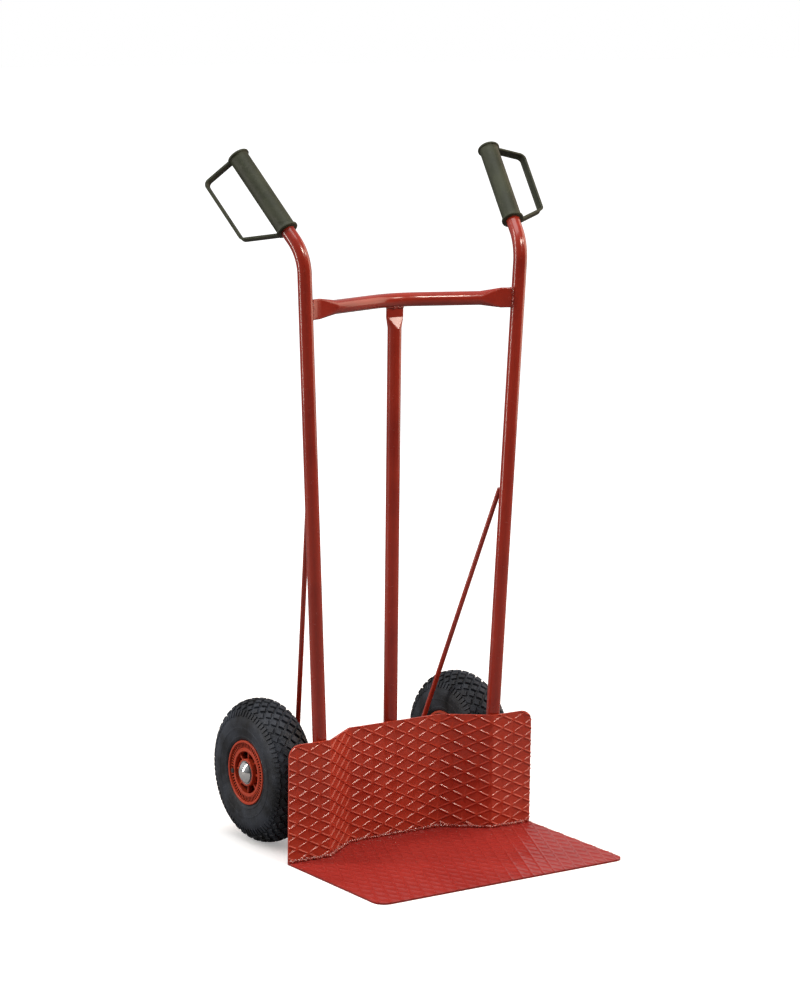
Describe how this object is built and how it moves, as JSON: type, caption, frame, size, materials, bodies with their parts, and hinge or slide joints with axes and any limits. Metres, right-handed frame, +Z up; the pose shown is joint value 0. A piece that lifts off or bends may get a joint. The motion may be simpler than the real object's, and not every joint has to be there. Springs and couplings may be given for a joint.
{
  "type": "hand truck",
  "caption": "Upright hand truck: bent-tube frame, flat toe plate, folded back plate, two air-tyred wheels and two grips with knuckle guards.",
  "frame": {"origin": "on the floor, on the centreline, under the front face of the back plate's flanges", "axes": "+Z up, -Y towards the front edge of the toe plate, +X to the right as seen from the front"},
  "size_m": [0.6587, 0.574, 1.2397],
  "materials": {
    "frame_paint": "gloss red paint on steel tube",
    "plate_paint": "gloss red paint on chequered steel sheet",
    "grip_plastic": "dark green-black moulded plastic, matt",
    "tyre_rubber": "black moulded rubber",
    "tube_rubber": "black butyl rubber",
    "rim_plastic": "red moulded plastic, satin",
    "chrome": "bright chrome",
    "zinc_steel": "zinc-plated steel"
  },
  "bodies": {
    "frame": {"left_rail": "frame_paint", "right_rail": "frame_paint", "crossbar": "frame_paint", "centre_tube": "frame_paint", "frame_welds": "frame_paint", "left_brace": "frame_paint", "right_brace": "frame_paint", "axle_tube": "frame_paint", "left_axle_bracket": "frame_paint", "right_axle_bracket": "frame_paint", "toe_plate": "plate_paint", "back_plate": "plate_paint", "toe_weld": "plate_paint", "left_grip": "grip_plastic", "right_grip": "grip_plastic", "axle": "zinc_steel", "left_axle_bush": "zinc_steel", "right_axle_bush": "zinc_steel", "left_hub_washer": "zinc_steel", "right_hub_washer": "zinc_steel", "left_hub_cap": "chrome", "right_hub_cap": "chrome"},
    "left_wheel": {"left_tyre": "tyre_rubber", "left_inner_tube": "tube_rubber", "left_rim_outer": "rim_plastic", "left_rim_inner": "rim_plastic", "left_rim_screws": "zinc_steel", "left_bearing_outer": "zinc_steel", "left_bearing_inner": "zinc_steel", "left_bearing_spacer": "zinc_steel", "left_valve_stem": "tube_rubber", "left_valve_cap": "tube_rubber"},
    "right_wheel": {"right_tyre": "tyre_rubber", "right_inner_tube": "tube_rubber", "right_rim_outer": "rim_plastic", "right_rim_inner": "rim_plastic", "right_rim_screws": "zinc_steel", "right_bearing_outer": "zinc_steel", "right_bearing_inner": "zinc_steel", "right_bearing_spacer": "zinc_steel", "right_valve_stem": "tube_rubber", "right_valve_cap": "tube_rubber"}
  },
  "joints": [
    {"name": "left_wheel_spin", "type": "hinge", "parent": "frame", "child": "left_wheel", "pos_m": [-0.215, 0.159, 0.13], "axis": [1, 0, 0], "continuous": true},
    {"name": "right_wheel_spin", "type": "hinge", "parent": "frame", "child": "right_wheel", "pos_m": [0.215, 0.159, 0.13], "axis": [1, 0, 0], "continuous": true}
  ]
}
